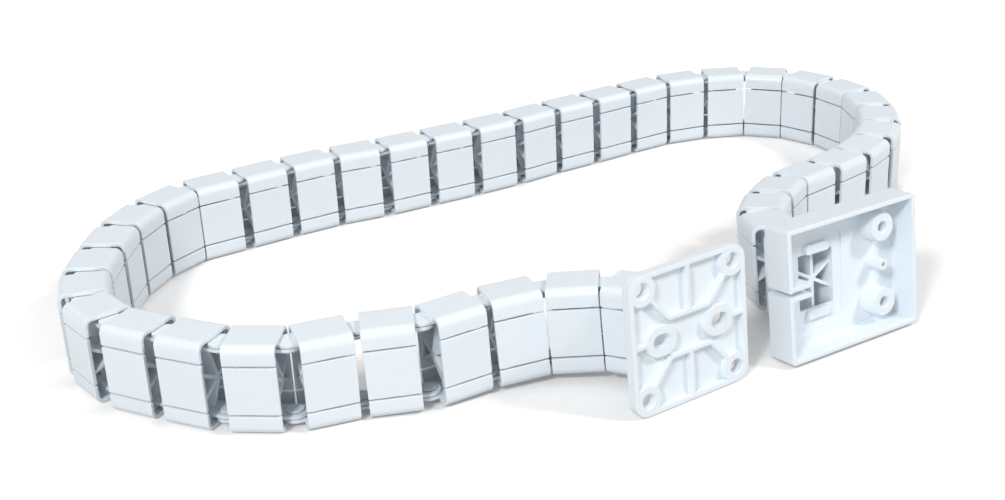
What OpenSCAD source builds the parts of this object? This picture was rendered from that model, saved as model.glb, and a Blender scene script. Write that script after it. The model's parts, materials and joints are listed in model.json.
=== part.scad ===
// Cable spine: a chain of hinged cable links with a foot plate at one end and a desk bracket at the other.
// Lengths in millimetres, angles in degrees. +Z is up, the floor is z = 0, +X runs along the longest side.

/* [Link] */
// Length of a link's body along the spine
link_len = 26; // [23:0.5:32]
// Width of a link across the spine
link_w = 27; // [25:0.5:34]
// Height of a link, along its hinge pins
link_h = 47; // [45:0.5:60]
// Wall thickness of caps and side panels
wall = 2; // [1.6:0.1:2.4]
// Outer radius of the rounded cap edges
cap_radius = 4.5; // [3:0.25:6]
// Height of a flat side panel
panel_h = 25; // [18:0.5:27]
// Width of a cable slit between a cap and a side panel
slit = 1; // [0.6:0.1:2]
// Thickness of the inner webs
web = 1.8; // [1.4:0.1:2.4]
// Distance of the webs from each end of the link
web_setback = 1; // [0.5:0.25:3]
// Height above the middle at which a sloping web meets its side panel
web_spread = 6.5; // [4:0.5:8]
// Diameter of the hub where the webs meet
hub_d = 5; // [3:0.5:8]

/* [Hinge] */
// Gap between two links of a straight spine
hinge_gap = 6.5; // [6:0.25:8]
// Width of a hinge lug
lug_w = 13; // [11:0.5:14]
// Thickness of a hinge lug
lug_t = 1.75; // [1.5:0.25:3]
// Length of the root that carries a lug inside its link
lug_root = 6; // [4:0.5:8]
// Diameter of a hinge pin
pin_d = 6; // [4:0.25:7]
// Radial play of a pin in its eye
pin_play = 0.85; // [0.8:0.05:1]
// Width of a pin's snap head beyond its shaft
head_lip = 1.4; // [1.2:0.1:1.8]
// Thickness of a pin's snap head
head_t = 0.8; // [0.6:0.1:1.5]
// Play between two stacked lugs, and between a lug and a cap
lug_play = 0.5; // [0.4:0.05:0.7]
// Distance left between the edges of two links at full bend
stop_play = 0.5; // [0.3:0.05:1]

/* [Foot plate] */
// Side of the square foot plate
plate_size = 72; // [68:0.5:90]
// Overall thickness of the foot plate
plate_t = 5.5; // [4.5:0.25:8]
// Thickness of the foot plate's sheet behind its ribs
plate_sheet = 2; // [1.5:0.25:3]
// Thickness of the foot plate's rim
plate_rim = 2.6; // [2:0.1:4]
// Thickness of the foot plate's ribs
plate_rib = 2.2; // [1.5:0.1:3]
// Distance of a corner screw hole from the plate's edges
plate_hole_inset = 8; // [7:0.25:10]
// Diameter of the plate's screw holes, and height of its slotted holes
screw_d = 7.5; // [5:0.25:8.5]
// Distance of a slotted hole from the plate's middle
plate_slot_x = 18; // [16:0.5:20]
// Length of a slotted hole, end to end
plate_slot_len = 10.5; // [9:0.25:12]
// Wall around a slotted hole
plate_slot_wall = 4; // [3:0.25:5]
// Distance of the long ribs from the plate's middle line
plate_rib_z = 10; // [8.5:0.25:12]
// Half length of the long ribs
plate_rib_x = 12.5; // [10:0.5:15]
// Distance from the plate's back to the hinge pin
plate_neck = 11.5; // [11:0.5:16]

/* [Desk bracket] */
// Width of the bracket box
box_w = 87; // [82:0.5:110]
// Height of the bracket box
box_h = 71; // [66:0.5:90]
// Depth of the bracket box
box_d = 17; // [14:0.5:24]
// Wall thickness of the box
box_wall = 2.5; // [2:0.1:3.5]
// Outer radius of the box's upright edges
box_radius = 2; // [1.2:0.1:4]
// Distance of the spine from the box's middle, across
box_offset = 12.5; // [11:0.5:14]
// Distance from the box's back to the hinge pin
box_neck = 25; // [22:0.5:32]
// Thickness of the box's floor
box_sheet = 2.5; // [2:0.1:3.5]
// Height of the window in the box's floor
window_h = 30; // [26:0.5:32]
// Width of the shallow pocket round the window
pocket_w = 35; // [31:0.5:40]
// Height of the shallow pocket round the window
pocket_h = 50; // [47:0.5:56]
// Depth of the shallow pocket
pocket_d = 0.8; // [0.4:0.1:1.2]
// Width of the two clip pads above and below the window
pad_w = 15; // [10:0.5:20]
// Height of a clip pad
pad_h = 5; // [3:0.25:6]
// Thickness of a clip pad above the pocket
pad_t = 2.4; // [1.5:0.1:4]
// Height of the cable slot in the box's side
slot_h = 3; // [2:0.25:4]
// Height of the cable slot's middle above the spine's middle
slot_z = 2.5; // [0:0.25:4]
// Distance from the ends of the slot's walls to the spine's side panel
slot_end = 2.5; // [0.5:0.25:5]
// Thickness of the two walls along the cable slot
slot_wall = 2.2; // [1.6:0.1:3]
// Distance of the screw bosses from the box's middle, across
boss_x = 25; // [22:0.5:28]
// Distance between the two screw bosses
boss_pitch = 41; // [36:0.5:46]
// Diameter of a screw boss at its top
boss_d = 15; // [12:0.5:16]
// Diameter of a screw boss at its foot
boss_foot_d = 16.5; // [15:0.5:20]
// Diameter of the screw hole in a boss
boss_hole_d = 5.5; // [4:0.25:7]
// Depth of the boss tops below the box's rim
boss_sink = 5; // [1:0.5:7]
// Diameter of the small peg between the bosses, at its top
peg_d = 6.5; // [5:0.25:8]
// Diameter of the small peg's pilot hole
peg_hole_d = 2.5; // [1.5:0.25:3]

/* [Hidden] */
$fn = 64;
// Overlap that joins solids into one moulding
weld = 0.2;
link_pitch = link_len + hinge_gap;
bend_stop = 2 * atan((hinge_gap - stop_play) / link_w);
cap_under = link_h / 2 - wall;
pin_lug_top = cap_under - lug_play;
pin_lug_base = pin_lug_top - lug_t;
eye_lug_top = pin_lug_base - lug_play;
eye_lug_base = eye_lug_top - lug_t;
head_top = eye_lug_base - lug_play;
head_base = head_top - head_t;
lug_reach = lug_w / 2;
// Distance from a hinge to what stays clear of the next piece's lugs
eye_root_x = lug_reach + pin_play + lug_play;
lug_start = eye_root_x + lug_root;
// Height up to which the webs may reach beside the lugs
belly_h = head_base - lug_play;
body_w = link_w - 2 * wall;
plastic = [0.9, 0.93, 0.96];

// Bend at each hinge as a share of the full bend, from the foot plate to the bracket, left turns positive.
// The spine curls to the front, runs left in a loose zigzag, turns back, runs right and turns to the front.
curl_at_plate = [1, 1, 0.95, 0.45];
front_row = [-0.9, 0.5, -1, -0.75, -0.1];
left_turn = [-0.95, -1, -0.55, -0.15, -0.55, -0.65, -0.95];
back_row = [0, -0.1, -0.3, 0.2, 0, 0.1, 0.2, -0.15, 0.05, -0.05];
right_turn = [-0.55, -0.55, -0.95, -1, -0.65, -0.95, -0.5, -0.65, -0.5, -0.35];
curl_at_bracket = [-0.1, 0.8, 0.4, 1, 0.95];
bend_share = concat(curl_at_plate, front_row, left_turn, back_row, right_turn, curl_at_bracket);
link_count = len(bend_share) - 1;

// Lean at a hinge, taken up by the pin's play: [hinge, roll, pitch]. It lifts both ends of the spine off the
// floor to the middle of the plate and of the bracket, which stand on their lower edges.
lean_steps = [
  [0, -2, -0.2],
  [3, -1.9, -0.7],
  [5, -1.2, -1.6],
  [35, 0.7, -1.7],
  [36, 2, 0.3],
  [37, 1.6, -0.9],
  [38, 1.9, 0.4],
  [40, -0.8, -0.5],
];

// Place and heading of the middle link, from which both halves of the lay are reckoned
base_link = 21;
base_x = -49.6;
base_y = 98.6;
base_heading = 27;

function link_name(k) = str("link_", k < 10 ? "0" : "", k);

// Matrices that move by v and turn by a about X, then Y, then Z
function move(v) = [[1, 0, 0, v.x], [0, 1, 0, v.y], [0, 0, 1, v.z], [0, 0, 0, 1]];
function turn_x(a) = [[1, 0, 0, 0], [0, cos(a), -sin(a), 0], [0, sin(a), cos(a), 0], [0, 0, 0, 1]];
function turn_y(a) = [[cos(a), 0, sin(a), 0], [0, 1, 0, 0], [-sin(a), 0, cos(a), 0], [0, 0, 0, 1]];
function turn_z(a) = [[cos(a), -sin(a), 0, 0], [sin(a), cos(a), 0, 0], [0, 0, 1, 0], [0, 0, 0, 1]];

function lean(h) = [for (s = lean_steps) if (s[0] == h) [s[1], s[2]]];
function roll_at(h) = len(lean(h)) > 0 ? lean(h)[0][0] : 0;
function pitch_at(h) = len(lean(h)) > 0 ? lean(h)[0][1] : 0;
function bend_at(h) = bend_share[h] * bend_stop;
half_pitch = move([link_pitch / 2, 0, 0]);
back_half_pitch = move([-link_pitch / 2, 0, 0]);

// Hinge h joins body h to body h + 1: body 0 is the foot plate, the last body is the desk bracket
function hinge_turn(h) = turn_z(bend_at(h)) * turn_y(pitch_at(h)) * turn_x(roll_at(h));
function hinge_back(h) = turn_x(-roll_at(h)) * turn_y(-pitch_at(h)) * turn_z(-bend_at(h));
function place(k) =
  k == base_link ? move([base_x, base_y, link_h / 2]) * turn_z(base_heading) :
  k > base_link ? place(k - 1) * half_pitch * hinge_turn(k - 1) * half_pitch :
  place(k + 1) * back_half_pitch * hinge_back(k) * back_half_pitch;

plate_place = place(0) * half_pitch;
box_place = place(link_count + 1) * back_half_pitch;
// Height of a piece's middle above the spine, so that the piece's lower edge at x touches the floor
function standing_rise(m, x, height) = height / 2 - (m[2][3] + m[2][0] * x) / m[2][2];
plate_rise = standing_rise(plate_place, -plate_neck, plate_size);
box_rise = standing_rise(box_place, box_neck, box_h);

plate_front = -plate_neck - plate_t;
plate_hole = plate_size / 2 - plate_hole_inset;
box_front = box_neck + box_d;
box_floor = box_neck + box_sheet;
pocket_floor = box_floor - pocket_d;
boss_y = box_offset + boss_x;
boss_top = box_front - boss_sink;
box_left = box_offset - box_w / 2;
// Reach of the webs in the bracket's neck
neck_tip = hinge_gap / 2 + web_setback;
web_end = box_neck - web_setback;

// Extrudes a cross-section, drawn with Y across and Z up, from x0 to x1 along the spine
module along_spine(x0, x1) {
  translate([x0, 0, 0]) rotate([90, 0, 90]) linear_extrude(x1 - x0) children();
}

module rounded_rect(w, h, r) {
  square([w - 2 * r, h], center = true);
  square([w, h - 2 * r], center = true);
  for (x = [-1, 1], y = [-1, 1]) translate([x * (w / 2 - r), y * (h / 2 - r)]) circle(r);
}

// Ring of a link's section: caps above and below, side panels between
module section_ring() {
  difference() {
    rounded_rect(link_w, link_h, cap_radius);
    rounded_rect(body_w, link_h - 2 * wall, cap_radius - wall);
  }
}

module slits() {
  for (s = [-1, 1]) translate([0, s * (panel_h + slit) / 2]) square([2 * link_w, slit], center = true);
}

// Upright web, full height from x0 to x1, with a belly between the lugs that reaches to tip0 and tip1
module upright_web(x0, x1, tip0, tip1) {
  rotate([90, 0, 0]) linear_extrude(web, center = true) {
    translate([x0, -(link_h - wall) / 2]) square([x1 - x0, link_h - wall]);
    polygon([[x0, -belly_h], [tip0, -hub_d / 2], [tip0, hub_d / 2], [x0, belly_h],
      [x1, belly_h], [tip1, hub_d / 2], [tip1, -hub_d / 2], [x1, -belly_h]]);
  }
}

// Section of the two sloping webs that carry the side panel on side s, +1 or -1
module sloping_webs(s) {
  reach = (link_w - wall) / body_w;
  foot = [body_w / 2, web_spread] * reach;
  for (up = [-1, 1]) rotate(atan2(up * foot.y, s * foot.x)) translate([0, -web / 2]) square([norm(foot), web]);
}

// A lug's outline in plan: a tongue from x0 to the pin at the origin, with a round end
module lug_outline(x0) {
  circle(d = lug_w);
  translate([min(x0, 0), -lug_w / 2]) square([abs(x0), lug_w]);
}

module slab(z0, z1) {
  translate([0, 0, z0]) linear_extrude(z1 - z0) children();
}

// Upper and lower lugs that carry the pins, with the pin at the origin and their root at x0 < 0
module pin_lugs(x0) {
  for (s = [0, 1]) mirror([0, 0, s]) {
    slab(pin_lug_base, pin_lug_top) lug_outline(x0);
    slab(pin_lug_base, cap_under + weld) translate([x0, -lug_w / 2]) square([-hinge_gap / 2 - x0, lug_w]);
    slab(head_base, pin_lug_base + weld) circle(d = pin_d);
    slab(head_base, head_top) circle(d = pin_d + 2 * head_lip);
  }
}

// Upper and lower lugs with the eyes for the pins, with the eye at the origin and their root at x0 > 0
module eye_lugs(x0) {
  for (s = [0, 1]) mirror([0, 0, s]) {
    difference() {
      slab(eye_lug_base, eye_lug_top) lug_outline(x0);
      slab(eye_lug_base - weld, eye_lug_top + weld) circle(d = pin_d + 2 * pin_play);
    }
    slab(eye_lug_base, cap_under + weld) translate([eye_root_x, -lug_w / 2]) square([x0 - eye_root_x, lug_w]);
  }
}

module link(k) {
  web_tip = link_len / 2 - web_setback;
  color(plastic) multmatrix(place(k)) {
    along_spine(-link_len / 2, link_len / 2) difference() {
      section_ring();
      slits();
    }
    upright_web(eye_root_x - link_pitch / 2, link_pitch / 2 - eye_root_x, -web_tip, web_tip);
    along_spine(-web_tip, web_tip) {
      sloping_webs(1);
      sloping_webs(-1);
      circle(d = hub_d);
    }
    translate([link_pitch / 2, 0, 0]) pin_lugs(-lug_start);
    translate([-link_pitch / 2, 0, 0]) eye_lugs(lug_start);
  }
}

// Rib of the foot plate from one point to another
module rib(from, to) {
  span = to - from;
  translate(from) rotate(atan2(span.y, span.x)) translate([0, -plate_rib / 2]) square([norm(span), plate_rib]);
}

module slotted(len, d) {
  for (s = [-1, 1]) translate([s * (len - d) / 2, 0]) circle(d = d);
  square([len - d, d], center = true);
}

// Rim, ribs and screw bosses of the foot plate
module plate_ribs() {
  edge = plate_size / 2 - plate_rim / 2;
  difference() {
    rounded_rect(plate_size, plate_size, plate_hole_inset);
    rounded_rect(plate_size - 2 * plate_rim, plate_size - 2 * plate_rim, plate_hole_inset - plate_rim);
  }
  for (x = [-1, 1], y = [-1, 1]) {
    translate([x, y] * plate_hole) circle(r = plate_hole_inset);
    rib([x * plate_rib_x, y * plate_rib_z], [x, y] * plate_hole);
  }
  for (s = [-1, 1]) {
    rib([-plate_rib_x, s * plate_rib_z], [plate_rib_x, s * plate_rib_z]);
    rib([0, s * plate_rib_z], [0, s * edge]);
    rib([s * plate_slot_x, 0], [s * edge, 0]);
    translate([s * plate_slot_x, 0])
      slotted(plate_slot_len + 2 * plate_slot_wall, screw_d + 2 * plate_slot_wall);
  }
}

module plate_holes() {
  for (x = [-1, 1], y = [-1, 1]) translate([x, y] * plate_hole) circle(d = screw_d);
  for (s = [-1, 1]) translate([s * plate_slot_x, 0]) slotted(plate_slot_len, screw_d);
}

module foot_plate() {
  color(plastic) multmatrix(plate_place) {
    translate([0, 0, plate_rise]) {
      along_spine(plate_front + plate_t - plate_sheet, -plate_neck) difference() {
        rounded_rect(plate_size, plate_size, plate_hole_inset);
        plate_holes();
      }
      along_spine(plate_front, -plate_neck - plate_sheet + weld) difference() {
        plate_ribs();
        plate_holes();
      }
    }
    along_spine(-plate_neck - weld, -hinge_gap / 2) section_ring();
    pin_lugs(-plate_neck - weld);
  }
}

// Tapered screw boss on the box's floor, at y and z, along the spine
module boss(y, z, foot_d, top_d) {
  translate([box_floor - weld, y, z]) rotate([0, 90, 0])
    cylinder(h = boss_top - box_floor + weld, d1 = foot_d, d2 = top_d);
}

module bore(y, z, d) {
  translate([box_neck - weld, y, z]) rotate([0, 90, 0]) cylinder(h = box_d, d = d);
}

// Walls along the cable slot, which end a little before the window
module slot_walls() {
  for (s = [-1, 1]) translate([box_left, slot_z + s * (slot_h + slot_wall) / 2 - slot_wall / 2])
    square([-box_left - link_w / 2 - slot_end, slot_wall]);
}

module clip_pads() {
  for (s = [-1, 1]) translate([0, s * (window_h + pad_h) / 2]) rounded_rect(pad_w, pad_h, pad_h / 4);
}

module bracket_box() {
  along_spine(box_neck, box_floor) rounded_rect(box_w, box_h, box_radius);
  along_spine(box_neck, box_front) difference() {
    rounded_rect(box_w, box_h, box_radius);
    rounded_rect(box_w - 2 * box_wall, box_h - 2 * box_wall, box_radius / 2);
  }
}

module desk_bracket() {
  color(plastic) multmatrix(box_place) difference() {
    union() {
      difference() {
        translate([0, box_offset, box_rise]) bracket_box();
        along_spine(pocket_floor, box_front) rounded_rect(pocket_w, pocket_h, cap_radius);
        along_spine(box_neck - weld, box_floor) square([body_w, window_h], center = true);
      }
      for (s = [-1, 1]) boss(boss_y, box_rise + s * boss_pitch / 2, boss_foot_d, boss_d);
      boss(boss_y, box_rise, peg_d * boss_foot_d / boss_d, peg_d);
      along_spine(pocket_floor - weld, box_front) slot_walls();
      along_spine(pocket_floor - weld, pocket_floor + pad_t) clip_pads();
      along_spine(hinge_gap / 2, box_neck + weld) section_ring();
      upright_web(eye_root_x, web_end, neck_tip, web_end);
      along_spine(neck_tip, web_end) {
        sloping_webs(1);
        sloping_webs(-1);
        circle(d = hub_d);
      }
      eye_lugs(lug_start);
    }
    for (s = [-1, 1]) bore(boss_y, box_rise + s * boss_pitch / 2, boss_hole_d);
    translate([box_floor, boss_y, box_rise]) rotate([0, 90, 0]) cylinder(h = box_d, d = peg_hole_d);
    along_spine(box_neck - weld, box_front + weld) translate([2 * box_left, slot_z - slot_h / 2])
      square([-2 * box_left - body_w / 2, slot_h]);
  }
}

foot_plate();
for (k = [1:link_count]) link(k);
desk_bracket();
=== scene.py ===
"""Dresses the cable spine: rounded links, a foot plate and a desk bracket of white plastic."""
import json
import logging
import math
from dataclasses import dataclass, field
from enum import Enum
from typing import Any, Callable, Sequence

import bmesh
import bpy
from mathutils import Matrix, Vector


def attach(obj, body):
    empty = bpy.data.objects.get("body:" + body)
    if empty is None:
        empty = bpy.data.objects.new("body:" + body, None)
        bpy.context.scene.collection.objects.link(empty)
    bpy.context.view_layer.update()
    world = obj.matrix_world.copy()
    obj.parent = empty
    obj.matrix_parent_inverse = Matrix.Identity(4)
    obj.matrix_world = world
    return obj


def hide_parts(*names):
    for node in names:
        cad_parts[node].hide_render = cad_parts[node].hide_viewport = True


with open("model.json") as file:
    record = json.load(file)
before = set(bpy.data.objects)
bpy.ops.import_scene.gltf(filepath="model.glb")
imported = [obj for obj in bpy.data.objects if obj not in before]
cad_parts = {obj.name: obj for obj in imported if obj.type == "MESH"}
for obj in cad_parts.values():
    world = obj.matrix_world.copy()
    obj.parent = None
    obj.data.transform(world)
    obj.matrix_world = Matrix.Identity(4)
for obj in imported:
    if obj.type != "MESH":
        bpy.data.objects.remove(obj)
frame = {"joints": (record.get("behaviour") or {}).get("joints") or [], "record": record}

LOG = logging.getLogger("cable_spine")
MM = 0.001  # one millimetre, in metres
WELD = 0.2  # overlap of bodies that are joined, in millimetres
OVERCUT = 1.0  # reach of a tool past what it cuts, in millimetres
NEARLY = 0.01  # length that counts as none, in millimetres
FACING = 0.9  # cosine from which a direction counts as along an axis
ROUND_STEPS = 12  # bevel steps of a round end
BLOCK_STEPS = 8  # bevel steps of a rounded block's edges
RIM_STEPS = 5  # bevel steps of the bracket's outer edges
PAD_STEPS = 4  # bevel steps of a clip pad's edges
SOFT_STEPS = 2  # bevel steps of a softened edge
FINE_STEPS = 3  # bevel steps of a softened edge in plain view
DRUM_SIDES = 48
SHARP_FROM = math.radians(40)
SMOOTH_BELOW = math.radians(32)
Point = Sequence[float]
Colour = tuple[float, float, float, float]


class Element(Enum):
    """What a selection in edit mode is made of."""

    EDGES = "EDGE"
    FACES = "FACE"


class Axis(Enum):
    """Direction of a round body, as the turn that lays a cylinder along it."""

    SPINE = (0.0, math.pi / 2, 0.0)
    PIN = (0.0, 0.0, 0.0)


class Bench:
    """Modelling operators that every moulding is made with; lengths are in millimetres."""

    @staticmethod
    def clear() -> None:
        """Leaves edit mode, with nothing selected."""
        active = bpy.context.view_layer.objects.active
        if active and active.mode != "OBJECT":
            bpy.ops.object.mode_set(mode="OBJECT")
        bpy.ops.object.select_all(action="DESELECT")

    @staticmethod
    def activate(piece: bpy.types.Object) -> None:
        """Makes one piece the only one that an operator acts on."""
        Bench.clear()
        bpy.context.view_layer.objects.active = piece
        piece.select_set(True)

    @staticmethod
    def block(name: str, low: Point, high: Point, turn: float = 0.0) -> bpy.types.Object:
        """Adds a block between two corners.

        Args:
            name: The block's name.
            low: Its lowest corner.
            high: Its highest corner.
            turn: Turn about the spine's direction, through the block's middle, in radians.

        Returns:
            The block, with its place in its mesh.
        """
        Bench.clear()
        lowest, highest = Vector(low), Vector(high)
        bpy.ops.mesh.primitive_cube_add(size=1, location=(lowest + highest) / 2 * MM, rotation=(turn, 0, 0))
        piece = bpy.context.object
        piece.name = name
        piece.scale = (highest - lowest) * MM
        bpy.ops.object.transform_apply(location=True, rotation=True, scale=True)
        return piece

    @staticmethod
    def drum(name: str, foot: Point, length: float, foot_r: float, top_r: float,
             axis: Axis) -> bpy.types.Object:
        """Adds a round body, tapered where its two radii differ.

        Args:
            name: The body's name.
            foot: Middle of its lower end.
            length: Its length along the axis.
            foot_r: Radius at the foot.
            top_r: Radius at the far end.
            axis: Direction from the foot.

        Returns:
            The body, with its place in its mesh.
        """
        Bench.clear()
        along = Vector((length / 2, 0, 0)) if axis is Axis.SPINE else Vector((0, 0, length / 2))
        bpy.ops.mesh.primitive_cone_add(
            vertices=DRUM_SIDES, radius1=foot_r * MM, radius2=top_r * MM, depth=length * MM,
            location=(Vector(foot) + along) * MM, rotation=axis.value)
        piece = bpy.context.object
        piece.name = name
        bpy.ops.object.transform_apply(location=True, rotation=True, scale=True)
        return piece

    @staticmethod
    def prism(name: str, outline: Sequence[Point], along: Point) -> bpy.types.Object:
        """Adds a straight-sided body: a flat outline, extruded.

        Args:
            name: The body's name.
            outline: Its corners in their order, all in one plane.
            along: How far it is extruded along each axis.

        Returns:
            The body, closed.
        """
        Bench.clear()
        bpy.ops.mesh.primitive_circle_add(vertices=len(outline), radius=MM, fill_type="NGON")
        piece = bpy.context.object
        piece.name = name
        for vertex, corner in zip(piece.data.vertices, outline):
            vertex.co = Vector(corner) * MM
        Bench.pick(piece, Element.FACES, lambda face: True)
        bpy.ops.mesh.extrude_region_move(TRANSFORM_OT_translate={"value": Vector(along) * MM})
        bpy.ops.mesh.select_all(action="SELECT")
        bpy.ops.mesh.normals_make_consistent(inside=False)
        Bench.clear()
        return piece

    @staticmethod
    def pick(piece: bpy.types.Object, element: Element, wanted: Callable[[Any], bool]) -> None:
        """Opens a piece for editing with the wanted edges or faces selected.

        Args:
            piece: The piece.
            element: Edges or faces.
            wanted: Says of one edge or face whether it is selected.
        """
        Bench.activate(piece)
        bpy.ops.object.mode_set(mode="EDIT")
        bpy.ops.mesh.select_mode(type=element.value)
        bpy.ops.mesh.select_all(action="DESELECT")
        mesh = bmesh.from_edit_mesh(piece.data)
        mesh.normal_update()
        for each in mesh.edges if element is Element.EDGES else mesh.faces:
            if wanted(each):
                each.select_set(True)
        bmesh.update_edit_mesh(piece.data)

    @staticmethod
    def round_edges(piece: bpy.types.Object, radius: float, steps: int,
                    wanted: Callable[[Any], bool]) -> None:
        """Rounds the wanted edges of a piece."""
        Bench.pick(piece, Element.EDGES, wanted)
        bpy.ops.mesh.bevel(offset=radius * MM, segments=steps, affect="EDGES", clamp_overlap=True)
        Bench.clear()

    @staticmethod
    def round_block(name: str, low: Point, high: Point, radius: float,
                    steps: int = BLOCK_STEPS) -> bpy.types.Object:
        """Adds a block whose edges along the spine are rounded."""
        piece = Bench.block(name, low, high)
        Bench.round_edges(piece, radius, steps, runs_along_spine)
        return piece

    @staticmethod
    def modify(piece: bpy.types.Object, kind: str, **settings: Any) -> None:
        """Adds a modifier with its settings and applies it."""
        Bench.activate(piece)
        modifier = piece.modifiers.new(kind, kind)
        for key, value in settings.items():
            setattr(modifier, key, value)
        bpy.ops.object.modifier_apply(modifier=modifier.name)

    @staticmethod
    def soften(piece: bpy.types.Object, width: float, segments: int = SOFT_STEPS) -> bpy.types.Object:
        """Rounds every sharp edge of a piece a little, as a mould does, and returns the piece."""
        Bench.modify(piece, "BEVEL", width=width * MM, segments=segments, limit_method="ANGLE",
                     angle_limit=SHARP_FROM)
        return piece

    @staticmethod
    def combine(piece: bpy.types.Object, tool: bpy.types.Object, operation: str) -> None:
        """Joins a tool to a piece or cuts it out, and removes the tool."""
        Bench.modify(piece, "BOOLEAN", operation=operation, object=tool, solver="MANIFOLD")
        bpy.data.meshes.remove(tool.data)

    @staticmethod
    def unite(piece: bpy.types.Object, *others: bpy.types.Object) -> None:
        """Joins other bodies to a piece, one after another."""
        for other in others:
            Bench.combine(piece, other, "UNION")

    @staticmethod
    def cut(piece: bpy.types.Object, *tools: bpy.types.Object) -> None:
        """Cuts tools out of a piece, one after another."""
        for tool in tools:
            Bench.combine(piece, tool, "DIFFERENCE")

    @staticmethod
    def mirror_down(piece: bpy.types.Object) -> bpy.types.Object:
        """Adds the mirror image below the spine's middle plane, and returns the piece."""
        Bench.modify(piece, "MIRROR", use_axis=(False, False, True), use_clip=False, use_mirror_merge=False)
        Bench.pick(piece, Element.FACES, lambda face: True)
        bpy.ops.mesh.normals_make_consistent(inside=False)
        Bench.clear()
        return piece

    @staticmethod
    def smooth(piece: bpy.types.Object) -> None:
        """Shades a piece smooth, apart from its sharp edges, with its flat faces kept flat."""
        Bench.activate(piece)
        bpy.ops.object.shade_smooth_by_angle(angle=SMOOTH_BELOW)
        Bench.modify(piece, "WEIGHTED_NORMAL", mode="FACE_AREA", weight=100, keep_sharp=True)
        Bench.clear()


def runs_along_spine(edge: Any) -> bool:
    """Says whether an edge lies along the spine's direction."""
    span = edge.verts[1].co - edge.verts[0].co
    return abs(span.x) > FACING * span.length


def is_upright_at(edge: Any, x: float) -> bool:
    """Says whether an edge stands upright at a place along the spine."""
    low, high = (v.co for v in edge.verts)
    return max(abs(low.x - x * MM), abs(high.x - x * MM)) < NEARLY * MM and abs(high.z - low.z) > WELD * MM


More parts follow.
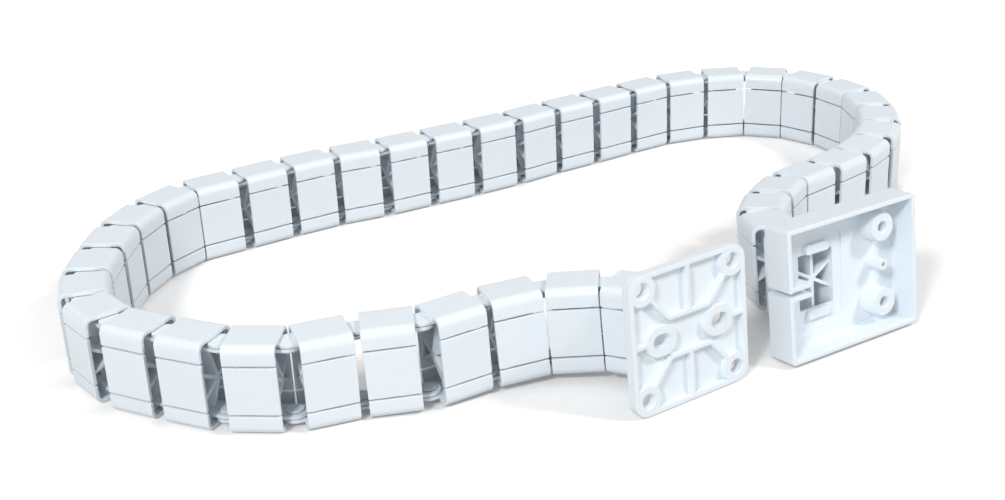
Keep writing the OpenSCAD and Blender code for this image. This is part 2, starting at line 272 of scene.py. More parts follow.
@dataclass(frozen=True)
class Section:
    """Cross-section and hinges that links, plate collar and bracket neck share, in millimetres."""

    length: float = 26.0
    width: float = 27.0
    height: float = 47.0
    wall: float = 2.0
    cap_radius: float = 4.5
    panel_h: float = 25.0
    slit: float = 1.0
    web: float = 1.8
    web_setback: float = 1.0
    web_spread: float = 6.5
    hub_d: float = 5.0
    gap: float = 6.5
    lug_w: float = 13.0
    lug_t: float = 1.75
    lug_root: float = 6.0
    pin_d: float = 6.0
    pin_play: float = 0.85
    head_lip: float = 1.4
    head_t: float = 0.8
    lug_play: float = 0.5
    edge: float = 0.35

    @property
    def pitch(self) -> float:
        """Distance from hinge to hinge."""
        return self.length + self.gap

    @property
    def cap_under(self) -> float:
        """Height of a cap's underside above the middle."""
        return self.height / 2 - self.wall

    @property
    def pin_lug_base(self) -> float:
        """Height of a pin lug's underside."""
        return self.cap_under - self.lug_play - self.lug_t

    @property
    def eye_lug_base(self) -> float:
        """Height of an eye lug's underside."""
        return self.pin_lug_base - self.lug_play - self.lug_t

    @property
    def head_base(self) -> float:
        """Height of the underside of a pin's snap head."""
        return self.eye_lug_base - self.lug_play - self.head_t

    @property
    def belly_h(self) -> float:
        """Height up to which the upright web reaches past the lugs' roots."""
        return self.head_base - self.lug_play

    @property
    def eye_root(self) -> float:
        """Distance of an eye lug's root from the hinge."""
        return self.lug_w / 2 + self.pin_play + self.lug_play

    @property
    def lug_start(self) -> float:
        """Distance of the far end of a lug's root from the hinge."""
        return self.eye_root + self.lug_root

    @property
    def inner_w(self) -> float:
        """Width inside the side panels."""
        return self.width - 2 * self.wall

    def tube(self, name: str, start: float, end: float, with_slits: bool) -> bpy.types.Object:
        """Makes the outer ring: rounded caps above and below, flat panels at the sides.

        Args:
            name: The ring's name.
            start: Where it starts along the spine.
            end: Where it ends.
            with_slits: Whether slits part the caps from the panels.

        Returns:
            The ring, closed and with soft edges.
        """
        half_w, half_h = self.width / 2, self.height / 2
        ring = Bench.round_block(name, (start, -half_w, -half_h), (end, half_w, half_h), self.cap_radius)
        Bench.pick(ring, Element.FACES, lambda face: abs(face.normal.x) > FACING)
        bpy.ops.mesh.delete(type="ONLY_FACE")
        if with_slits:
            low, high = self.panel_h / 2, self.panel_h / 2 + self.slit
            for level in (-high, -low, low, high):
                bpy.ops.mesh.select_all(action="SELECT")
                bpy.ops.mesh.bisect(plane_co=(0, 0, level * MM), plane_no=(0, 0, 1))
            Bench.pick(ring, Element.FACES, lambda face: low < abs(face.calc_center_median().z) / MM < high)
            bpy.ops.mesh.delete(type="FACE")
        Bench.modify(ring, "SOLIDIFY", thickness=self.wall * MM, offset=-1, use_even_offset=True)
        return Bench.soften(ring, self.edge, FINE_STEPS)

    def upright_web(self, ends: tuple[float, float], tips: tuple[float, float]) -> bpy.types.Object:
        """Makes the web between the caps.

        Args:
            ends: Where it starts and ends along the spine at the caps.
            tips: Where its belly starts and ends at the hub.

        Returns:
            The web, with soft edges.
        """
        tall, thin, hub = (self.height - self.wall) / 2, self.web / 2, self.hub_d / 2
        (start, end), (near, far), belly = ends, tips, self.belly_h
        corners = ((start, -belly), (near, -hub), (near, hub), (start, belly),
                   (end, belly), (far, hub), (far, -hub), (end, -belly))
        web = Bench.block("web_upright", (start, -thin, -tall), (end, thin, tall))
        Bench.unite(web, Bench.prism("web_belly", [(x, -thin, z) for x, z in corners], (0, self.web, 0)))
        return Bench.soften(web, self.edge / 2)

    def sloping_webs(self, tips: tuple[float, float]) -> list[bpy.types.Object]:
        """Makes the four webs that slope from the hub up and down to the side panels."""
        reach = (self.width - self.wall) / self.inner_w
        across, up = self.inner_w / 2 * reach, self.web_spread * reach
        half, thin = math.hypot(across, up) / 2, self.web / 2
        made = []
        for side in (-1, 1):
            for rise in (-1, 1):
                mid_y, mid_z = side * across / 2, rise * up / 2
                low, high = (tips[0], mid_y - half, mid_z - thin), (tips[1], mid_y + half, mid_z + thin)
                web = Bench.block("web_sloping", low, high, math.atan2(rise * up, side * across))
                made.append(Bench.soften(web, self.edge / 2))
        return made

    def hub(self, tips: tuple[float, float]) -> bpy.types.Object:
        """Makes the round bar in which the webs meet."""
        radius = self.hub_d / 2
        bar = Bench.drum("hub", (tips[0], 0, 0), tips[1] - tips[0], radius, radius, Axis.SPINE)
        return Bench.soften(bar, self.edge)

    def tongue(self, name: str, root: float, hinge: float, base: float) -> bpy.types.Object:
        """Makes one lug: a flat tongue with a round end about the hinge."""
        tip = hinge + math.copysign(self.lug_w / 2, hinge - root)
        low, high = min(root, tip), max(root, tip)
        half = self.lug_w / 2
        lug = Bench.block(name, (low, -half, base), (high, half, base + self.lug_t))
        Bench.round_edges(lug, half - NEARLY, ROUND_STEPS, lambda edge: is_upright_at(edge, tip))
        return lug

    def root_block(self, start: float, end: float, base: float) -> bpy.types.Object:
        """Makes the block that carries a lug from the cap above it."""
        half = self.lug_w / 2
        return Bench.block("lug_root", (start, -half, base), (end, half, self.cap_under + WELD))

    def pin_lugs(self, root: float, hinge: float) -> bpy.types.Object:
        """Makes the upper and lower lugs that carry the pins.

        Args:
            root: Where the lugs start inside their piece.
            hinge: Place of the pins along the spine.

        Returns:
            The lugs, with their roots and pins.
        """
        lug = Bench.soften(self.tongue("pin_lug", root, hinge, self.pin_lug_base), self.edge)
        radius, base = self.pin_d / 2, self.head_base
        broad = radius + self.head_lip
        pin = Bench.drum("pin", (hinge, 0, base + WELD), self.pin_lug_base - base, radius, radius, Axis.PIN)
        head = Bench.drum("pin_head", (hinge, 0, base), self.head_t, broad, broad, Axis.PIN)
        Bench.soften(head, self.head_t / 3)
        Bench.unite(lug, self.root_block(root, hinge - self.gap / 2, self.pin_lug_base), pin, head)
        return Bench.mirror_down(lug)

    def eye_lugs(self, root: float, hinge: float) -> bpy.types.Object:
        """Makes the upper and lower lugs with the eyes.

        Args:
            root: Where the lugs end inside their piece.
            hinge: Place of the eyes along the spine.

        Returns:
            The lugs, with their roots.
        """
        lug = Bench.soften(self.tongue("eye_lug", root, hinge, self.eye_lug_base), self.edge)
        radius = self.pin_d / 2 + self.pin_play
        foot = (hinge, 0, self.eye_lug_base - OVERCUT)
        Bench.cut(lug, Bench.drum("eye", foot, self.lug_t + 2 * OVERCUT, radius, radius, Axis.PIN))
        Bench.unite(lug, self.root_block(hinge + self.eye_root, root, self.eye_lug_base))
        return Bench.mirror_down(lug)


@dataclass(frozen=True)
class SpineLink:
    """One link of the spine; all links are alike."""

    section: Section

    def build(self) -> bpy.types.Object:
        """Models the link about its own middle, along X, and returns it."""
        s = self.section
        hinge = s.pitch / 2
        tip, end = s.length / 2 - s.web_setback, hinge - s.eye_root
        link = s.tube("spine_link", -s.length / 2, s.length / 2, with_slits=True)
        Bench.unite(link, s.hub((-tip, tip)), s.upright_web((-end, end), (-tip, tip)))
        Bench.unite(link, *s.sloping_webs((-tip, tip)))
        Bench.unite(link, s.pin_lugs(hinge - s.lug_start, hinge), s.eye_lugs(s.lug_start - hinge, -hinge))
        Bench.smooth(link)
        return link


@dataclass(frozen=True)
class FootPlate:
    """Square ribbed plate with a hinged collar, about its hinge pin, in millimetres."""

    section: Section
    rise: float
    size: float = 72.0
    thick: float = 5.5
    sheet: float = 2.0
    rim: float = 2.6
    rib: float = 2.2
    hole_inset: float = 8.0
    screw_d: float = 7.5
    slot_x: float = 18.0
    slot_len: float = 10.5
    slot_wall: float = 4.0
    rib_z: float = 10.0
    rib_x: float = 12.5
    neck: float = 11.5
    edge: float = 0.4
    chamfer: float = 0.7
    rib_sink: float = 0.05
    boss_sink: float = 0.03
    boss_inset: float = 0.15

    @property
    def front(self) -> float:
        """Place of the plate's front plane along the spine."""
        return -self.neck - self.thick

    def rib_between(self, start: tuple[float, float], end: tuple[float, float]) -> bpy.types.Object:
        """Makes a rib from one point of the plate to another, each given across and up."""
        across, up = end[0] - start[0], end[1] - start[1]
        long = math.hypot(across, up)
        mid_y, mid_z = (start[0] + end[0]) / 2, (start[1] + end[1]) / 2 + self.rise
        low = (self.front + self.rib_sink, mid_y - long / 2, mid_z - self.rib / 2)
        high = (-self.neck - self.sheet + WELD, mid_y + long / 2, mid_z + self.rib / 2)
        return Bench.soften(Bench.block("rib", low, high, math.atan2(up, across)), self.edge)

    def ribs(self) -> list[bpy.types.Object]:
        """Makes all ribs: two long ones, four diagonals, and four short ones to the rim."""
        hole = self.size / 2 - self.hole_inset
        edge = self.size / 2 - self.rim / 2
        made = []
        for s in (-1, 1):
            made.append(self.rib_between((-self.rib_x, s * self.rib_z), (self.rib_x, s * self.rib_z)))
            made.append(self.rib_between((0, s * self.rib_z), (0, s * edge)))
            made.append(self.rib_between((s * self.slot_x, 0), (s * edge, 0)))
            for t in (-1, 1):
                made.append(self.rib_between((s * self.rib_x, t * self.rib_z), (s * hole, t * hole)))
        return made

    def bosses(self) -> list[bpy.types.Object]:
        """Makes the round corner bosses and the two oblong ones."""
        hole = self.size / 2 - self.hole_inset
        tall = self.thick - self.sheet + WELD
        radius = self.hole_inset - self.boss_inset
        half_w, half_h = self.slot_len / 2 + self.slot_wall, self.screw_d / 2 + self.slot_wall
        made = []
        for y in (-hole, hole):
            for z in (-hole, hole):
                foot = (self.front + self.boss_sink, y, z + self.rise)
                boss = Bench.drum("corner_boss", foot, tall, radius, radius, Axis.SPINE)
                made.append(Bench.soften(boss, self.edge))
        for y in (-self.slot_x, self.slot_x):
            low = (self.front + self.boss_sink - NEARLY, y - half_w, self.rise - half_h)
            high = (self.front + tall, y + half_w, self.rise + half_h)
            boss = Bench.round_block("slot_boss", low, high, half_h - NEARLY, ROUND_STEPS)
            made.append(Bench.soften(boss, self.edge))
        return made

    def holes(self) -> list[bpy.types.Object]:
        """Makes the tools that cut the screw holes, each with a small chamfer, and the slotted holes."""
        hole, radius = self.size / 2 - self.hole_inset, self.screw_d / 2
        wide = radius + self.chamfer
        made = []
        for y in (-hole, hole):
            for z in (-hole, hole):
                mouth = (self.front - WELD / 2, y, z + self.rise)
                made.append(Bench.drum("screw_hole", mouth, self.thick + WELD, radius, radius, Axis.SPINE))
                made.append(Bench.drum("chamfer", mouth, self.chamfer, wide, radius, Axis.SPINE))
        for y in (-self.slot_x, self.slot_x):
            low = (self.front - OVERCUT, y - self.slot_len / 2, self.rise - radius)
            high = (-self.neck + OVERCUT / 2, y + self.slot_len / 2, self.rise + radius)
            made.append(Bench.round_block("slotted_hole", low, high, radius - NEARLY))
        return made

    def build(self) -> bpy.types.Object:
        """Models the plate with its hinge pin at the origin and its front towards -X, and returns it."""
        s, half = self.section, self.size / 2
        low, high = (self.front, -half, self.rise - half), (-self.neck, half, self.rise + half)
        plate = Bench.round_block("foot_plate_moulding", low, high, self.hole_inset, ROUND_STEPS)
        Bench.pick(plate, Element.FACES, lambda face: face.normal.x < -FACING)
        bpy.ops.mesh.inset(thickness=self.rim * MM, use_even_offset=True)
        bpy.ops.mesh.extrude_region_move(
            TRANSFORM_OT_translate={"value": ((self.thick - self.sheet) * MM, 0, 0)})
        Bench.clear()
        Bench.soften(plate, self.edge)
        Bench.unite(plate, *self.ribs(), *self.bosses())
        Bench.cut(plate, *self.holes())
        Bench.unite(plate, s.tube("collar", -self.neck - WELD, -s.gap / 2, with_slits=False))
        Bench.unite(plate, s.pin_lugs(-self.neck - WELD, 0.0))
        Bench.smooth(plate)
        return plate


@dataclass(frozen=True)
class DeskBracket:
    """Open box with bosses, window, cable slot and a hinged neck, about its hinge pin, in millimetres."""

    section: Section
    rise: float
    width: float = 87.0
    height: float = 71.0
    depth: float = 17.0
    wall: float = 2.5
    radius: float = 2.0
    offset: float = 12.5
    neck: float = 25.0
    sheet: float = 2.5
    window_h: float = 30.0
    pocket_w: float = 35.0
    pocket_h: float = 50.0
    pocket_d: float = 0.8
    pad_w: float = 15.0
    pad_h: float = 5.0
    pad_t: float = 2.4
    slot_h: float = 3.0
    slot_z: float = 2.5
    slot_end: float = 2.5
    slot_wall: float = 2.2
    boss_x: float = 25.0
    boss_pitch: float = 41.0
    boss_d: float = 15.0
    boss_foot_d: float = 16.5
    boss_hole_d: float = 5.5
    boss_sink: float = 5.0
    peg_d: float = 6.5
    peg_hole_d: float = 2.5
    edge: float = 0.5
    chamfer: float = 0.7
    draft: float = 0.985

    @property
    def front(self) -> float:
        """Place of the rim along the spine."""
        return self.neck + self.depth

    @property
    def floor(self) -> float:
        """Place of the floor's inner face along the spine."""
        return self.neck + self.sheet

    @property
    def left(self) -> float:
        """Place of the box's slotted side across the spine."""
        return self.offset - self.width / 2

    @property
    def neck_tip(self) -> float:
        """Place along the spine where the neck's webs start."""
        return self.section.gap / 2 + self.section.web_setback

    @property
    def web_end(self) -> float:
        """Place along the spine where the neck's webs end."""
        return self.neck - self.section.web_setback

    def shell(self) -> bpy.types.Object:
        """Makes the open box, its inner walls a little drafted."""
        half = self.height / 2
        low = (self.neck, self.left, self.rise - half)
        high = (self.front, self.left + self.width, self.rise + half)
        box = Bench.block("desk_bracket_moulding", low, high)
        Bench.pick(box, Element.FACES, lambda face: face.normal.x > FACING)
        bpy.ops.mesh.inset(thickness=self.wall * MM, use_even_offset=True)
        bpy.ops.mesh.extrude_region_move(
            TRANSFORM_OT_translate={"value": ((self.sheet - self.depth) * MM, 0, 0)})
        bpy.ops.transform.resize(value=(1, self.draft, self.draft))
        outer = (half - self.wall / 2) * MM
        Bench.round_edges(box, self.radius, RIM_STEPS, lambda edge: runs_along_spine(edge) and all(
            abs(v.co.z - self.rise * MM) > outer for v in edge.verts))
        return Bench.soften(box, self.edge, FINE_STEPS)

    def bosses(self) -> list[bpy.types.Object]:
        """Makes the two screw bosses and the peg between them."""
        across = self.offset + self.boss_x
        tall = self.front - self.boss_sink - self.floor + WELD
        taper = self.boss_foot_d / self.boss_d
        made = []
        rows = ((-self.boss_pitch / 2, self.boss_d), (self.boss_pitch / 2, self.boss_d), (0.0, self.peg_d))
        for up, top_d in rows:
            foot = (self.floor - WELD, across, self.rise + up)
            boss = Bench.drum("boss", foot, tall, top_d * taper / 2, top_d / 2, Axis.SPINE)
            made.append(Bench.soften(boss, self.edge))
        return made

    def holes(self) -> list[bpy.types.Object]:
        """Makes the tools for the screw holes, their chamfers and the peg's pilot hole."""
        across, radius = self.offset + self.boss_x, self.boss_hole_d / 2
        wide, top = radius + self.chamfer, self.front - self.boss_sink
        made = []
        for up in (-self.boss_pitch / 2, self.boss_pitch / 2):
            foot = (self.neck - OVERCUT / 2, across, self.rise + up)
            made.append(Bench.drum("screw_hole", foot, self.depth, radius, radius, Axis.SPINE))
            start = (top + WELD / 2 - self.chamfer, across, self.rise + up)
            made.append(Bench.drum("chamfer", start, self.chamfer, radius, wide, Axis.SPINE))
        pilot, foot = self.peg_hole_d / 2, (self.floor, across, self.rise)
        made.append(Bench.drum("pilot_hole", foot, self.depth, pilot, pilot, Axis.SPINE))
        return made

    def slot_walls(self) -> list[bpy.types.Object]:
        """Makes the two walls along the cable slot, which end a little before the window."""
        end = -self.section.width / 2 - self.slot_end
        made = []
        for side in (-1, 1):
            mid = self.slot_z + side * (self.slot_h + self.slot_wall) / 2
            low = (self.floor - self.pocket_d - WELD, self.left + self.wall / 2, mid - self.slot_wall / 2)
            high = (self.front - WELD / 4, end, mid + self.slot_wall / 2)
            made.append(Bench.soften(Bench.block("slot_wall", low, high), self.edge))
        return made

    def pads(self) -> list[bpy.types.Object]:
        """Makes the clip pads above and below the window."""
        base = self.floor - self.pocket_d
        made = []
        for side in (-1, 1):
            mid = side * (self.window_h + self.pad_h) / 2
            low = (base - WELD, -self.pad_w / 2, mid - self.pad_h / 2)
            high = (base + self.pad_t, self.pad_w / 2, mid + self.pad_h / 2)
            pad = Bench.round_block("clip_pad", low, high, self.pad_h / 4, PAD_STEPS)
            made.append(Bench.soften(pad, self.edge))
        return made

    def build(self) -> bpy.types.Object:
        """Models the bracket with its hinge at the origin and its rim towards +X, and returns it."""
        s, inner = self.section, self.section.inner_w / 2
        box = self.shell()
        low = (self.floor - self.pocket_d, -self.pocket_w / 2, -self.pocket_h / 2)
        high = (self.front + OVERCUT, self.pocket_w / 2, self.pocket_h / 2)
        pocket = Bench.round_block("pocket", low, high, s.cap_radius)
        low = (self.neck - OVERCUT, -inner, -self.window_h / 2)
        high = (self.front, inner, self.window_h / 2)
        Bench.cut(box, pocket, Bench.block("window", low, high))
        Bench.unite(box, *self.bosses(), *self.slot_walls(), *self.pads())
        tips = (self.neck_tip, self.web_end)
        neck = s.tube("neck", s.gap / 2, self.neck + WELD, with_slits=False)
        Bench.unite(neck, s.hub(tips), s.upright_web((s.eye_root, self.web_end), tips))
        Bench.unite(neck, *s.sloping_webs(tips), s.eye_lugs(s.lug_start, 0.0))
        Bench.unite(box, neck)
        low = (self.neck - WELD, 2 * self.left, self.slot_z - self.slot_h / 2)
        high = (self.front + OVERCUT, -inner, self.slot_z + self.slot_h / 2)
        Bench.cut(box, *self.holes(), Bench.block("cable_slot", low, high))
        Bench.smooth(box)
        return box


class Sock:
    """A node's output, on which Python's operators add Math nodes."""

    def __init__(self, shop: "NodeShop", socket: Any) -> None:
        """Wraps one output socket of a shop's tree."""
        self.shop = shop
        self.socket = socket

    def _math(self, operation: str, first: Any, second: Any) -> "Sock":
        """Adds one Math node."""
        return self.shop.node("ShaderNodeMath", {"operation": operation}, {0: first, 1: second})

    def __add__(self, other: Any) -> "Sock":
        """Adds a value or a socket."""
        return self._math("ADD", self, other)

    def __radd__(self, other: Any) -> "Sock":
        """Adds to a value."""
        return self._math("ADD", other, self)

    def __sub__(self, other: Any) -> "Sock":
        """Subtracts a value or a socket."""
        return self._math("SUBTRACT", self, other)

    def __mul__(self, other: Any) -> "Sock":
        """Multiplies by a value or a socket."""
        return self._math("MULTIPLY", self, other)


class NodeShop:
    """Builds one material's node tree."""

    def __init__(self, name: str) -> None:
        """Starts an empty material of that name."""
        self.material = bpy.data.materials.new(name)
        self.material.use_nodes = True
        self.tree = self.material.node_tree
        self.tree.nodes.clear()

    def node(self, kind: str, settings: dict[str, Any] | None = None, sockets: dict[Any, Any] | None = None,
             output: int | str = 0) -> Sock:
        """Adds a node.

        Args:
            kind: Its type.
            settings: Its own settings, set first; a ramp's stops are given as "stops".
            sockets: Values or links of its inputs, by name or number.
            output: Which output is wanted.

        Returns:
            That output.
        """
        made = self.tree.nodes.new(kind)
        for key, value in (settings or {}).items():
            if key == "stops":
                self._set_stops(made.color_ramp, value)
            else:
                setattr(made, key, value)
        for key, value in (sockets or {}).items():
            if isinstance(value, Sock):
                self.tree.links.new(value.socket, made.inputs[key])
            else:
                made.inputs[key].default_value = value
        return Sock(self, made.outputs[output]) if made.outputs else Sock(self, None)

    @staticmethod
    def _set_stops(ramp: Any, stops: Sequence[tuple[float, float]]) -> None:
        """Sets a grey ramp's stops, each a place and a level."""
        while len(ramp.elements) < len(stops):
            ramp.elements.new(0.5)
        for element, (place, level) in zip(ramp.elements, stops):
            element.position = place
            element.color = (level, level, level, 1)

    def place(self) -> Sock:
        """Returns the Object coordinates."""
        return self.node("ShaderNodeTexCoord", output="Object")

    def stretched(self, scale: Point) -> Sock:
        """Returns the Object coordinates, scaled along each axis."""
        sockets = {"Vector": self.place(), "Scale": scale}
        return self.node("ShaderNodeMapping", {"vector_type": "POINT"}, sockets)

    def noise(self, where: Sock, scale: float, detail: float = 2.0, roughness: float = 0.5) -> Sock:
        """Returns a noise from 0 to 1."""
        return self.node("ShaderNodeTexNoise", {"noise_dimensions": "3D"},
                         {"Vector": where, "Scale": scale, "Detail": detail, "Roughness": roughness}, "Fac")

    def ramp(self, factor: Sock, *stops: tuple[float, float]) -> Sock:
        """Returns a factor through a grey ramp."""
        return self.node("ShaderNodeValToRGB", {"stops": stops}, {"Fac": factor})

    def blend(self, factor: Any, first: Any, second: Any) -> Sock:
        """Returns a mix of two colours."""
        return self.node("ShaderNodeMix", {"data_type": "RGBA"}, {"Factor": factor, 6: first, 7: second}, 2)

    def bump(self, height: Sock, strength: float, distance: float) -> Sock:
        """Returns a bumped normal."""
        sockets = {"Height": height, "Strength": strength, "Distance": distance}
        return self.node("ShaderNodeBump", {}, sockets, "Normal")

    def close(self, shader: Sock) -> bpy.types.Material:
        """Links the shader to the material's output and returns the material."""
        self.node("ShaderNodeOutputMaterial", {}, {"Surface": shader})
        return self.material


def srgb(red: int, green: int, blue: int) -> Colour:
    """Returns a display colour, given in 0 to 255, as a linear colour."""
    def linear(level: int) -> float:
        """Returns one channel's linear value."""
        c = level / 255
        return c / 12.92 if c <= 0.04045 else ((c + 0.055) / 1.055) ** 2.4
    return (linear(red), linear(green), linear(blue), 1.0)


@dataclass(frozen=True)
class MouldedPlastic:
    """Satin white plastic with a fine moulded grain, faint flow marks and a little dust."""

    name: str = "moulded_white_plastic"
    body: Colour = field(default_factory=lambda: srgb(237, 246, 253))
    warm: Colour = field(default_factory=lambda: srgb(240, 247, 253))
    dust: Colour = field(default_factory=lambda: srgb(206, 210, 212))
    roughness: float = 0.36
    ior: float = 1.5
    cloud_scale: float = 26.0
    flow_scale: tuple[float, float, float] = (35.0, 35.0, 160.0)
    grain_scale: float = 900.0
    speck_scale: float = 420.0
    patch_scale: float = 60.0
    dust_share: float = 0.5
    grain_gloss: float = 0.12
    flow_gloss: float = 0.10
    patch_gloss: float = 0.05
    grain_height: float = 0.55
    flow_height: float = 0.45
    bump_strength: float = 0.12
    bump_depth: float = 0.0002
    translucency: float = 0.12
    scatter: tuple[float, float, float] = (0.004, 0.004, 0.004)
    scatter_scale: float = 0.5

    def material(self) -> bpy.types.Material:
        """Builds the material and returns it."""
        shop = NodeShop(self.name)
        where = shop.place()
        cloud = shop.noise(where, self.cloud_scale, 3.0)
        flow = shop.noise(shop.stretched(self.flow_scale), 1.0, 3.0, 0.6)
        grain = shop.noise(where, self.grain_scale, 2.0, 0.6)
        specks = shop.ramp(shop.noise(where, self.speck_scale, 1.0), (0.70, 0.0), (0.78, 1.0))
        patches = shop.ramp(shop.noise(where, self.patch_scale, 4.0, 0.65), (0.56, 0.0), (0.74, 1.0))
        colour = shop.blend(cloud, self.body, self.warm)
        colour = shop.blend(specks * patches * self.dust_share, colour, self.dust)
        uneven = (grain - 0.5) * self.grain_gloss + (flow - 0.5) * self.flow_gloss
        height = grain * self.grain_height + flow * self.flow_height
        return shop.close(shop.node("ShaderNodeBsdfPrincipled", {}, {
            "Base Color": colour,
            "Roughness": self.roughness + uneven + patches * self.patch_gloss,
            "IOR": self.ior,
            "Subsurface Weight": self.translucency,
            "Subsurface Radius": self.scatter,
            "Subsurface Scale": self.scatter_scale,
            "Normal": shop.bump(height, self.bump_strength, self.bump_depth)}))


@dataclass(frozen=True)
class PaleFloor:
    """White studio floor that shows white to the camera and keeps soft shadows."""

    colour: Colour = (0.63, 0.63, 0.62, 1.0)
    mottled: Colour = (0.65, 0.65, 0.65, 1.0)
    shown: Colour = (0.97, 0.96, 0.95, 1.0)
    near_lift: Colour = (0.09, 0.09, 0.09, 1.0)
    far_lift: Colour = (0.85, 0.85, 0.85, 1.0)
    near: float = 0.23
    far: float = 0.52
    half: float = 6.0
    drop: float = 0.0002
    mottle_scale: float = 3.0

    def material(self) -> bpy.types.Material:
        """Builds the floor's matt paint, lifted to white away from the spine, and returns it."""
        shop = NodeShop("pale_floor")
        path = shop.tree.nodes.new("ShaderNodeLightPath")
        camera = Sock(shop, path.outputs["Is Camera Ray"])
        plain = shop.blend(shop.noise(shop.place(), self.mottle_scale), self.colour, self.mottled)
        paint = shop.node("ShaderNodeBsdfDiffuse", {}, {"Color": shop.blend(camera, plain, self.shown)})
        away = shop.node("ShaderNodeVectorMath", {"operation": "LENGTH"}, {0: shop.place()}, "Value")
        spread = {"Value": away, "From Min": self.near, "From Max": self.far}
        glow = shop.blend(shop.node("ShaderNodeMapRange", {}, spread), self.near_lift, self.far_lift)
        mirrored = Sock(shop, path.outputs["Is Glossy Ray"])
        lift = shop.node("ShaderNodeEmission", {}, {"Color": glow, "Strength": camera + mirrored})
        return shop.close(shop.node("ShaderNodeAddShader", {}, {0: paint, 1: lift}))

    def build(self) -> None:
        """Lays the floor just under the links' feet."""
        Bench.clear()
        bpy.ops.mesh.primitive_plane_add(size=2 * self.half, location=(0, 0, -self.drop))
        floor = bpy.context.object
        floor.name = "floor"
        bpy.ops.object.transform_apply(location=True, rotation=True, scale=True)
        floor.data.materials.append(self.material())


@dataclass(frozen=True)
class SoftBox:
    """A soft studio lamp that points at the middle of the spine."""

    name: str
    place: Point
    size: float
    watts: float
    aim: Point = (0.0, 0.0, 0.03)

    def build(self) -> None:
        """Hangs the lamp."""
        lamp = bpy.data.lights.new(self.name, "AREA")
        lamp.shape = "DISK"
        lamp.size = self.size
        lamp.energy = self.watts
        holder = bpy.data.objects.new(self.name, lamp)
        bpy.context.scene.collection.objects.link(holder)
        holder.location = self.place
        ahead = Vector(self.aim) - Vector(self.place)
        holder.rotation_euler = ahead.to_track_quat("-Z", "Y").to_euler()


@dataclass(frozen=True)
class Studio:
    """Floor, lamps, sky and camera; places in metres, angles in degrees, the sensor in millimetres."""

    camera_place: Point = (-0.0156, -0.8046, 0.3439)
    tilt_down: float = 23.132
    roll: float = -2.833
    focal_px: float = 1430.4
    image_w: float = 1005.0
    sensor_w: float = 36.0
    clip: tuple[float, float] = (0.01, 50.0)
    sky: float = 0.45

    def lamps(self) -> tuple[SoftBox, ...]:
        """Returns the lamps: one in front on the left, one on the right."""
        return (
            SoftBox("key_left", (-1.51, -3.13, 2.70), 0.7, 84.0),
            SoftBox("key_right", (2.98, -1.05, 3.06), 0.7, 64.0),
        )

    def sky_light(self) -> None:
        """Sets an even pale sky, which the camera sees white."""
        world = bpy.data.worlds.new("studio")
        world.use_nodes = True
        tree = world.node_tree
        tree.nodes.clear()
        path = tree.nodes.new("ShaderNodeLightPath")
        level = tree.nodes.new("ShaderNodeMapRange")
        level.inputs["To Min"].default_value = self.sky
        level.inputs["To Max"].default_value = 1.0
        tree.links.new(path.outputs["Is Camera Ray"], level.inputs["Value"])
        glow = tree.nodes.new("ShaderNodeBackground")
        glow.inputs["Color"].default_value = (1, 1, 1, 1)
        tree.links.new(level.outputs[0], glow.inputs["Strength"])
        out = tree.nodes.new("ShaderNodeOutputWorld")
        tree.links.new(glow.outputs[0], out.inputs["Surface"])
        bpy.context.scene.world = world

    def camera(self) -> None:
        """Sets the camera at the photograph's place and angle."""
        data = bpy.data.cameras.new("photo_camera")
        data.sensor_width = self.sensor_w
        data.lens = self.sensor_w * self.focal_px / self.image_w
        data.clip_start, data.clip_end = self.clip
        holder = bpy.data.objects.new("photo_camera", data)
        bpy.context.scene.collection.objects.link(holder)
        tilt, roll = math.radians(self.tilt_down), math.radians(self.roll)
        ahead = Vector((0, math.cos(tilt), -math.sin(tilt)))
        right, up = Vector((1, 0, 0)), Vector((0, math.sin(tilt), math.cos(tilt)))
        cam_x = right * math.cos(roll) + up * math.sin(roll)
        cam_y = up * math.cos(roll) - right * math.sin(roll)
        turn = Matrix((cam_x, cam_y, -ahead)).transposed().to_4x4()
        holder.matrix_world = Matrix.Translation(self.camera_place) @ turn
        bpy.context.scene.camera = holder

    def build(self) -> None:
        """Builds the studio."""
        PaleFloor().build()
        for lamp in self.lamps():
            lamp.build()
        self.sky_light()
        self.camera()
        bpy.context.scene.view_settings.view_transform = "Standard"


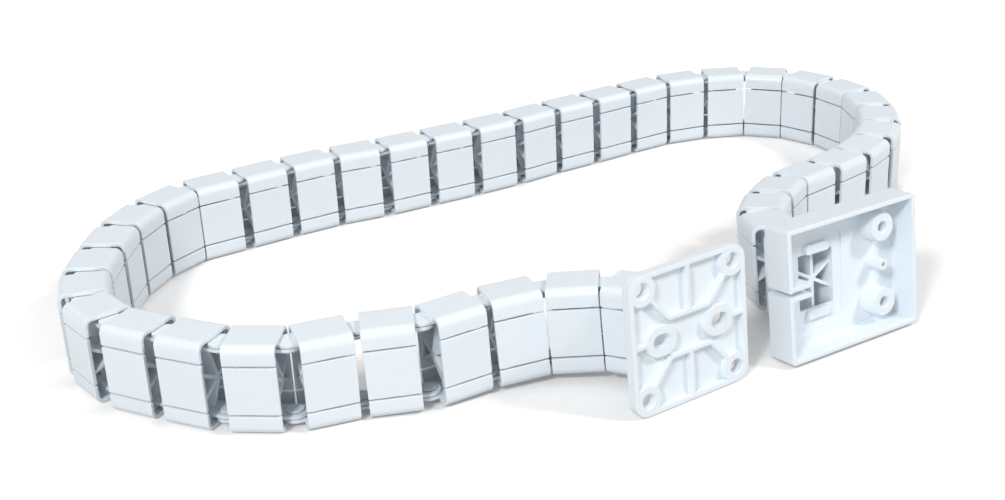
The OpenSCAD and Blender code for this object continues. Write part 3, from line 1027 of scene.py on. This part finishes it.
@dataclass
class Lay:
    """Places of the links, the plate and the bracket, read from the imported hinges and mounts."""

    hinges: list[dict[str, Any]] = field(
        default_factory=lambda: sorted(frame["joints"], key=lambda j: j["name"]))
    mounts: dict[str, dict[str, Any]] = field(
        default_factory=lambda: {m["name"]: m for m in frame["record"]["mounts"]})

    def pin(self, index: int) -> Vector:
        """Returns the place of a hinge, in metres."""
        return Vector(self.hinges[index]["pos_m"])

    @staticmethod
    def matrix(origin: Vector, ahead: Vector, up: Vector) -> Matrix:
        """Returns the matrix of a piece at a place, facing ahead, with its Z nearest to up."""
        x_axis = ahead.normalized()
        y_axis = up.cross(x_axis).normalized()
        z_axis = x_axis.cross(y_axis)
        return Matrix.Translation(origin) @ Matrix((x_axis, y_axis, z_axis)).transposed().to_4x4()

    def link(self, index: int) -> Matrix:
        """Returns a link's place, between its two hinges."""
        start, end = self.pin(index - 1), self.pin(index)
        up = Vector(self.hinges[index]["axis"])
        return self.matrix((start + end) / 2, end - start, up if up.z > 0 else -up)

    def end_piece(self, hinge: int, mount: str, facing: int) -> Matrix:
        """Returns the place of the plate or the bracket: at its hinge, facing its mount, level."""
        ahead = Vector(self.mounts[mount]["axis"]) * facing
        return self.matrix(self.pin(hinge), ahead, Vector((0, 0, 1)))

    @staticmethod
    def rise(place: Matrix, x: float, height: float) -> float:
        """Returns how far a piece's middle is above its hinge's, with its lower edge at x on the floor."""
        return height / 2 - (place[2][3] / MM + place[2][0] * x) / place[2][2]


def put(piece: bpy.types.Object, place: Matrix, body: str, finish: bpy.types.Material) -> None:
    """Moves a finished moulding's mesh to its place, dresses it and lets it stand for its CAD node.

    Args:
        piece: The moulding, modelled about the origin.
        place: Its place in the lay.
        body: Name of the body and of the CAD node.
        finish: Its material.
    """
    piece.data.transform(place)
    piece.data.materials.clear()
    piece.data.materials.append(finish)
    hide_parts(body)
    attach(piece, body)
    LOG.info("%s: %d faces, on %s", piece.name, len(piece.data.polygons), body)


def main() -> None:
    """Builds and dresses the links, the plate and the bracket, and sets up the studio."""
    logging.basicConfig(level=logging.INFO, format="%(message)s")
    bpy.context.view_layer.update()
    section = Section()
    lay = Lay()
    plastic = MouldedPlastic().material()
    pattern = SpineLink(section).build()
    count = len(lay.hinges) - 1
    for index in range(1, count + 1):
        piece = pattern if index == count else pattern.copy()
        if piece is not pattern:
            piece.data = pattern.data.copy()
            bpy.context.scene.collection.objects.link(piece)
        piece.name = f"spine_link_{index:02d}"
        put(piece, lay.link(index), f"link_{index:02d}", plastic)
    plate_place = lay.end_piece(0, "plate_screws", -1)
    plate = FootPlate(section, lay.rise(plate_place, -FootPlate.neck, FootPlate.size))
    put(plate.build(), plate_place, "foot_plate", plastic)
    bracket_place = lay.end_piece(count, "bracket_screws", 1)
    bracket = DeskBracket(section, lay.rise(bracket_place, DeskBracket.neck, DeskBracket.height))
    put(bracket.build(), bracket_place, "desk_bracket", plastic)
    Studio().build()


if __name__ == "__main__":
    main()
